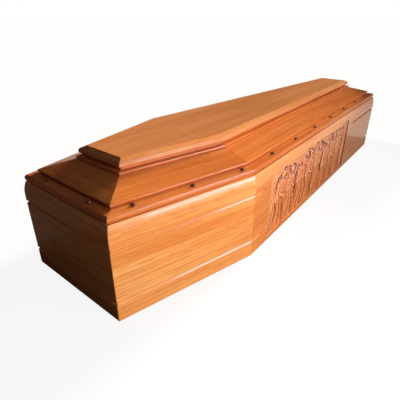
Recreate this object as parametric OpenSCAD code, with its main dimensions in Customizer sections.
// Six-sided wooden coffin with a moulded lift-off lid and a carved panel let into each long side.
// Millimetres, +Z up. The head end is at -X and the foot end at +X. The origin is at the centre
// of the plan on the floor. Left and right are those of a person lying in it, so right is -Y.

/* [Plan] */
// Outer length, head to foot
body_l = 1950; // [1500:10:2300]
// Outer width at the head end
head_w = 412; // [360:2:520]
// Outer width at the shoulders, the widest place
shoulder_w = 623; // [540:2:780]
// Outer width at the foot end
foot_w = 424; // [360:2:520]
// Distance of the shoulders from the head end
shoulder_x = 486; // [380:2:620]

/* [Walls] */
// Height of the walls, up to the rim that carries the lid
body_h = 297; // [240:1:380]
// Thickness of a wall board
wall_t = 22; // [18:0.5:28]
// Thickness of the floor board
floor_t = 18; // [12:0.5:26]
// Height of the rounded upper edge of a wall
round_h = 45; // [30:1:52]
// How far that rounded edge draws in at the rim
round_in = 9; // [4:0.5:10]
// Height of the lower V groove above the floor
low_groove_z = 57; // [40:1:80]
// Height of the upper V groove above the floor
high_groove_z = 229; // [180:1:236]
// Depth of a V groove
groove_d = 6; // [3:0.5:9]
// Width of a V groove at the surface
groove_w = 10; // [6:0.5:16]
// Where the grooves of a long side stop, past the shoulder
groove_stop = 60; // [30:1:90]
// Length of the grooves of a long side at the foot
groove_foot = 424; // [200:2:440]

/* [Carved panel] */
// Distance of the panel from the shoulder
panel_s = 112; // [100:1:200]
// Length of the panel
panel_l = 863; // [500:1:900]
// Height of the panel's lower edge above the floor
panel_z = 20; // [10:1:40]
// Height of the panel
panel_h = 242; // [160:1:242]
// Depth of the pocket in the wall
pocket_d = 15; // [12:0.5:16]
// Thickness of the panel's ground, behind the carving
ground_t = 4.5; // [3:0.5:6]
// Clearance all round the panel
panel_gap = 0.3; // [0.1:0.1:1]
// Number of robed figures in a panel
figures = 8; // [4:1:9]
// Height of a figure
figure_h = 216; // [140:1:222]
// Half width of a robe at its hem
hem_half = 44; // [30:1:50]
// Half width of a robe at the waist
waist_half = 30; // [20:1:36]
// Half width of a head with its hood
head_half = 16; // [10:1:20]
// Width of the hanging drape at each end of a panel
drape_w = 46; // [30:1:70]

/* [Lid frame] */
// Thickness of the lid frame that lies on the rim
frame_t = 24; // [18:0.5:28]
// Width of the lid frame
frame_w = 50; // [44:1:70]
// How far the frame's edge stands in from the wall's face
lip_in = 8; // [4:0.5:9]
// Radius of the frame's rounded edge
lip_r = 9; // [6:0.5:11]
// Height of the shadow rebate under that edge
rebate_h = 5; // [2:0.5:6]
// Depth of the shadow rebate behind that edge
rebate_d = 6; // [4:0.5:8]
// Fall of the frame's upper face from the slanted boards to its rounded edge
frame_fall = 4; // [2:0.5:6]
// Sag of that upper face
hollow_sag = 0.6; // [0:0.1:2]

/* [Slanted boards] */
// How far the slanted boards stand in from the wall's face, at their nosing
slant_in = 39; // [36:0.5:46]
// Thickness of a slanted board
slant_t = 14; // [10:0.5:18]
// Rise of the slanted boards, in degrees
slant_deg = 16.5; // [15:0.5:20]
// Radius of the nosing along their lower edge
nosing_r = 4.2; // [2.5:0.1:5]
// Height of the nosing's centre above the lid frame
nosing_h = 6.5; // [5:0.1:8]
// Inset of their upper end
slant_end = 152; // [148:0.5:158]

/* [Neck moulding] */
// Inset of the neck moulding's bead
neck_in = 129; // [124:0.5:132]
// Radius of the bead
bead_r = 4; // [3:0.1:5]
// Inset of the recess above the bead
recess_in = 146; // [142:0.5:150]
// Inset of the moulding's inner face
neck_back = 170; // [164:0.5:176]

/* [Top board] */
// Height of the whole coffin
total_h = 396; // [340:1:480]
// Thickness of the top board
top_t = 22; // [18:0.5:28]
// Inset of the top board's edge
top_in = 136; // [132:0.5:142]
// Inset of the flat top
flat_in = 157; // [152:0.5:164]
// Fall of the bevel round the flat top
bevel_h = 6; // [4:0.5:8]
// Width of the bevel round the flat top
bevel_w = 13; // [8:0.5:16]

/* [Screw buttons] */
// Radius of a button
button_r = 7.5; // [6:0.5:10]
// Height of a button above its seat
button_h = 7.5; // [5:0.5:9]
// Inset of the row of buttons from the wall's face
button_in = 28; // [25:0.5:29]
// Depth of the seat cut for a button
button_seat = 1.6; // [1:0.1:3]
// Clearance round a button in its seat
button_gap = 0.25; // [0.1:0.05:0.5]
// Buttons on each shoulder side
shoulder_buttons = 3; // [2:1:4]
// Distance from the head end's corner to the first button there
shoulder_first = 88; // [60:1:120]
// Distance between the buttons of a shoulder side
shoulder_pitch = 186; // [120:1:196]
// Buttons on each long side
long_buttons = 7; // [3:1:7]
// Distance from the shoulder to the first button of a long side
long_first = 158; // [100:1:180]
// Distance between the buttons of a long side
long_pitch = 198; // [120:1:206]
// Distance between the two buttons of an end
end_pitch = 198; // [120:1:240]

/* [Hidden] */
$fn = 48;
arc_steps = 8;
far = 40;               // how far a cutting prism runs past what it cuts
grid_u = 84;            // cells of the carving along a panel
grid_v = 22;            // cells of the carving up a panel
HANDS = ["right", "left"];

function row_names(stem, last) = [for (k = [1:last]) str(stem, "_", k)];

// The plan, counterclockwise from the head end's right corner. Side k runs from corner k to the next.
CORNERS = [
    [-body_l / 2, -head_w / 2], [shoulder_x - body_l / 2, -shoulder_w / 2], [body_l / 2, -foot_w / 2],
    [body_l / 2, foot_w / 2], [shoulder_x - body_l / 2, shoulder_w / 2], [-body_l / 2, head_w / 2]];
SHOULDER_RIGHT = 0;
LONG_RIGHT = 1;
FOOT = 2;
LONG_LEFT = 3;
SHOULDER_LEFT = 4;
HEAD = 5;

function corner(k) = CORNERS[(k + 6) % 6];
function along(k) = let (d = corner(k + 1) - corner(k)) d / norm(d);
function outward(k) = let (d = along(k)) [d.y, -d.x];
function side_len(k) = norm(corner(k + 1) - corner(k));
// Corner k of the outline that lies inset inside the walls' outer faces
function inset_corner(k, inset) =
    let (a = outward(k + 5), b = outward(k)) corner(k) - inset * (a + b) / (1 + a * b);

// Points of an arc about c, from one angle to another
function arc(c, r, from, to, steps = arc_steps) =
    [for (i = [0:steps]) let (t = from + (to - from) * i / steps) c + r * [cos(t), sin(t)]];

// Local frame of a side: X outwards from the wall's face, Y along the side, Z up
module on_side(k) {
    translate([corner(k).x, corner(k).y, 0])
        rotate([0, 0, atan2(along(k).y, along(k).x) - 90])
            children();
}

// A profile, drawn as outward distance and height, run past both ends of a side
module run(k, points, past = far) {
    on_side(k)
        translate([0, side_len(k) + past, 0])
            rotate([90, 0, 0])
                linear_extrude(side_len(k) + 2 * past)
                    polygon(points);
}

// The same run cut at the mitres of its two corners
module mitred(k, points, depth) {
    intersection() {
        run(k, points);
        translate([0, 0, -far])
            linear_extrude(total_h + 2 * far)
                polygon([inset_corner(k, -far), inset_corner(k + 1, -far),
                         inset_corner(k + 1, depth), inset_corner(k, depth)]);
    }
}

// ---- Walls and floor ----

round_r = (round_h * round_h + round_in * round_in) / (2 * round_in);
wall_round = arc([-round_r, body_h - round_h], round_r, 0, asin(round_h / round_r));
wall_profile = concat([[-wall_t, 0], [0, 0]], wall_round, [[-wall_t, body_h]]);

// A V groove along a side, between two distances from its first corner
module groove(z, from, to) {
    translate([0, to, z])
        rotate([90, 0, 0])
            linear_extrude(to - from)
                polygon([[1, groove_w / 2 * (1 + 1 / groove_d)], [-groove_d, 0],
                         [1, -groove_w / 2 * (1 + 1 / groove_d)]]);
}

module grooved_wall(k) {
    color("peru")
        difference() {
            mitred(k, wall_profile, wall_t + far);
            on_side(k)
                for (z = [low_groove_z, high_groove_z])
                    groove(z, -far, side_len(k) + far);
        }
}

// The long walls have a pocket for the carved panel, and grooves only beyond its two ends.
// from_shoulder turns a distance from the shoulder into one from the side's first corner.
function from_shoulder(k, s) = k == LONG_RIGHT ? s : side_len(k) - s;

module stretch(k, start, end) {
    a = from_shoulder(k, start);
    b = from_shoulder(k, end);
    for (z = [low_groove_z, high_groove_z])
        groove(z, min(a, b), max(a, b));
}

module long_wall(k) {
    color("sandybrown")
        difference() {
            mitred(k, wall_profile, wall_t + far);
            on_side(k) {
                stretch(k, -far, groove_stop);
                stretch(k, max(side_len(k) - groove_foot, panel_s + panel_l + 20), side_len(k) + far);
                translate([-pocket_d, min(from_shoulder(k, panel_s), from_shoulder(k, panel_s + panel_l)),
                           panel_z])
                    cube([pocket_d + far, panel_l, panel_h]);
            }
        }
}

module floor_board() {
    color("burlywood")
        linear_extrude(floor_t)
            polygon([for (k = [0:5]) inset_corner(k, wall_t)]);
}

// ---- Carved panel ----
// The carving is a height over each place of the panel: u runs from the shoulder's end, v up.

carve_d = pocket_d - ground_t;
carve_l = panel_l - 2 * panel_gap;
carve_h = panel_h - 2 * panel_gap;
figure_pitch = (carve_l - 2 * drape_w) / figures;
shoulder_v = 0.80;      // shoulder line, as a share of a figure's height
head_v = 0.90;          // middle of the head, as a share of a figure's height

function dome(t) = t >= 1 ? 0 : sqrt(1 - t * t);
function robe_half(t) =
    t < 0.75 ? hem_half - (hem_half - waist_half) * sin(120 * t) : waist_half * dome((t - 0.75) / 0.25);
function robe(du, v) =
    let (half = robe_half(v / (figure_h * shoulder_v * 1.06)))
    abs(du) < half ? 0.82 * dome(abs(du) / half) : 0;
function hood(du, v) = dome(norm([du / head_half, (v - figure_h * head_v) / (figure_h * 0.10)]));
// A forearm rises from the waist to the joined hands
function sleeve(du, v) =
    let (t = max(0, min(1, 1 - abs(du) / waist_half)), mid = figure_h * (0.46 + 0.14 * t))
    dome(abs(v - mid) / 13) * (abs(du) < waist_half ? 1 : 0);
function figure_relief(du, v) = max(robe(du, v), hood(du, v), 0.98 * sleeve(du, v));
// Hanging drape at an end of the panel, deeper towards the top
function drape(edge, v) =
    edge < drape_w * (0.55 + 0.45 * v / carve_h) ? 0.62 + 0.3 * cos(360 * edge / (drape_w / 2)) : 0;
function relief(u, v) =
    let (n = min(figures - 1, max(0, floor((u - drape_w) / figure_pitch))),
         du = u - drape_w - (n + 0.5) * figure_pitch)
    carve_d * max(figure_relief(du, v), drape(min(u, carve_l - u), v));

function grid_index(i, j) = j * (grid_u + 1) + i;
rim_cells = concat(
    [for (i = [0:grid_u - 1]) [i, 0]], [for (j = [0:grid_v - 1]) [grid_u, j]],
    [for (i = [grid_u:-1:1]) [i, grid_v]], [for (j = [grid_v:-1:1]) [0, j]]);
panel_points = concat(
    [for (j = [0:grid_v]) for (i = [0:grid_u])
        let (u = carve_l * i / grid_u, v = carve_h * j / grid_v) [ground_t + relief(u, v), u, v]],
    [for (c = rim_cells) [0, carve_l * c.x / grid_u, carve_h * c.y / grid_v]],
    [[0, carve_l / 2, carve_h / 2]]);
front_count = (grid_u + 1) * (grid_v + 1);
rim_count = len(rim_cells);
panel_faces = concat(
    [for (j = [0:grid_v - 1]) for (i = [0:grid_u - 1])
        each [[grid_index(i, j), grid_index(i, j + 1), grid_index(i + 1, j + 1)],
              [grid_index(i, j), grid_index(i + 1, j + 1), grid_index(i + 1, j)]]],
    [for (n = [0:rim_count - 1])
        let (m = (n + 1) % rim_count, a = rim_cells[n], b = rim_cells[m])
        each [[grid_index(a.x, a.y), grid_index(b.x, b.y), front_count + m],
              [grid_index(a.x, a.y), front_count + m, front_count + n]]],
    [for (n = [0:rim_count - 1])
        [front_count + n, front_count + (n + 1) % rim_count, front_count + rim_count]]);

module panel_block() {
    translate([-pocket_d, panel_s + panel_gap, panel_z + panel_gap])
        polyhedron(panel_points, panel_faces);
}

module carved_panel(k) {
    color("chocolate")
        if (k == LONG_RIGHT) on_side(k) panel_block();
        else mirror([0, 1, 0]) on_side(LONG_RIGHT) panel_block();
}

// ---- Lid ----

frame_top = body_h + frame_t;
frame_edge = lip_in + frame_w;
lip_z = frame_top - frame_fall - lip_r;
hollow_start = [-lip_in - lip_r, lip_z + lip_r];
hollow_end = [-slant_in - 1, frame_top];
hollow = [for (i = [0:arc_steps]) let (t = i / arc_steps)
    hollow_start + t * (hollow_end - hollow_start) - [0, 4 * hollow_sag * t * (1 - t)]];
frame_profile = concat(
    [[-frame_edge, body_h], [-lip_in - rebate_d, body_h], [-lip_in - rebate_d, body_h + rebate_h],
     [-lip_in, body_h + rebate_h]],
    arc([-lip_in - lip_r, lip_z], lip_r, 0, 80), hollow, [[-frame_edge, frame_top]]);

// Height of the hollow's surface at an inset, and its tilt there
hollow_t = (button_in + hollow_start.x) / (hollow_start.x - hollow_end.x);
seat_z = hollow_start.y + hollow_t * (hollow_end.y - hollow_start.y)
    - 4 * hollow_sag * hollow_t * (1 - hollow_t);
seat_tilt = atan2(hollow_end.y - hollow_start.y - 4 * hollow_sag * (1 - 2 * hollow_t),
                  hollow_start.x - hollow_end.x);

nosing_c = [-slant_in - nosing_r, frame_top + nosing_h];
slant_start = nosing_c + nosing_r * [sin(slant_deg), cos(slant_deg)];
// Heights of a slanted board's outer and inner faces at an inset
function slant_z(inset) = slant_start.y + (inset + slant_start.x) * tan(slant_deg);
function under_z(inset) = slant_z(inset) - slant_t / cos(slant_deg);
slant_foot = -slant_start.x + (frame_top - slant_start.y + slant_t / cos(slant_deg)) / tan(slant_deg);
slant_profile = concat(
    [[-slant_foot, frame_top], [nosing_c.x, frame_top]],
    arc(nosing_c, nosing_r, -60, 90 - slant_deg),
    [[-slant_end, slant_z(slant_end)], [-slant_end, under_z(slant_end)]]);

top_under = total_h - top_t;
bead_c = [-neck_in - bead_r, slant_z(neck_in + bead_r) + bead_r * 0.9];
neck_profile = concat(
    [[-neck_in - bead_r * 0.6, slant_z(neck_in + bead_r * 0.6)]],
    arc(bead_c, bead_r, -40, 90),
    [[-recess_in, bead_c.y + bead_r + 1], [-recess_in, top_under], [-neck_back, top_under],
     [-neck_back, under_z(slant_end)], [-slant_end, under_z(slant_end)], [-slant_end, slant_z(slant_end)]]);

// Half of the top board as seen from one side: everything inside its edge
edge_top = [-flat_in + bevel_w, total_h - bevel_h];
edge_h = edge_top.y - top_under - 4;
edge_curve = [for (i = [0:arc_steps]) let (t = 90 * i / arc_steps)
    [-top_in - (-edge_top.x - top_in) * (1 - cos(t)), top_under + 4 + edge_h * sin(t)]];
top_profile = concat(
    [[-body_l, top_under], [-top_in - 4, top_under]], edge_curve,
    [[-flat_in, total_h], [-body_l, total_h]]);

module button_at(s) {
    translate([-button_in, s, seat_z])
        rotate([0, seat_tilt, 0])
            translate([0, 0, -button_seat])
                children();
}

// Places of the buttons along a side, from its first corner
long_step = min(long_pitch, (side_len(LONG_RIGHT) - long_first - 60) / (long_buttons - 1));
shoulder_step = min(shoulder_pitch,
                    (side_len(SHOULDER_RIGHT) - shoulder_first - 30) / (shoulder_buttons - 1));
function long_place(k, n) = from_shoulder(k, long_first + n * long_step);
function shoulder_place(k, n) =
    let (s = shoulder_first + n * shoulder_step) k == SHOULDER_RIGHT ? s : side_len(k) - s;
function end_place(k, n) = side_len(k) / 2 + (n - 0.5) * end_pitch;
function button_places(k) =
    k == LONG_RIGHT || k == LONG_LEFT ? [for (n = [0:long_buttons - 1]) long_place(k, n)]
    : k == SHOULDER_RIGHT || k == SHOULDER_LEFT ? [for (n = [0:shoulder_buttons - 1]) shoulder_place(k, n)]
    : [for (n = [0:1]) end_place(k, n)];

module lid_frame(k) {
    color("peru")
        difference() {
            mitred(k, frame_profile, frame_edge + far);
            on_side(k)
                for (s = button_places(k))
                    button_at(s) cylinder(r = button_r + button_gap, h = far);
        }
}

module slanted_board(k) {
    color("chocolate") mitred(k, slant_profile, neck_back);
}

module neck_moulding(k) {
    color("sienna") mitred(k, neck_profile, neck_back + 10);
}

module top_board() {
    color("tan")
        intersection_for(k = [0:5])
            run(k, top_profile, body_l);
}

// A turned button: a short straight foot in its seat, and a domed head
module button() {
    dome_h = button_h - button_seat;
    dome_r = (button_r * button_r + dome_h * dome_h) / (2 * dome_h);
    color("saddlebrown") {
        cylinder(r = button_r, h = button_seat);
        intersection() {
            translate([0, 0, button_seat + dome_h - dome_r]) sphere(r = dome_r);
            translate([0, 0, button_seat]) cylinder(r = button_r, h = dome_h);
        }
    }
}

module button_on(k, n) {
    on_side(k) button_at(button_places(k)[n]) button();
}

floor_board();
grooved_wall(HEAD);  // head_board
grooved_wall(FOOT);  // foot_board
grooved_wall(SHOULDER_RIGHT);  // shoulder_board_right
grooved_wall(SHOULDER_LEFT);  // shoulder_board_left
long_wall(LONG_RIGHT);  // long_board_right
long_wall(LONG_LEFT);  // long_board_left
carved_panel(LONG_RIGHT);  // carved_panel_right
carved_panel(LONG_LEFT);  // carved_panel_left
top_board();
for (run_side = [["head", HEAD], ["foot", FOOT], ["shoulder_right", SHOULDER_RIGHT],
                 ["shoulder_left", SHOULDER_LEFT], ["long_right", LONG_RIGHT], ["long_left", LONG_LEFT]]) {
    name = run_side[0];
    lid_frame(run_side[1]);
    slanted_board(run_side[1]);
    neck_moulding(run_side[1]);
    for (n = [0:len(button_places(run_side[1])) - 1])
        button_on(run_side[1], n);
}
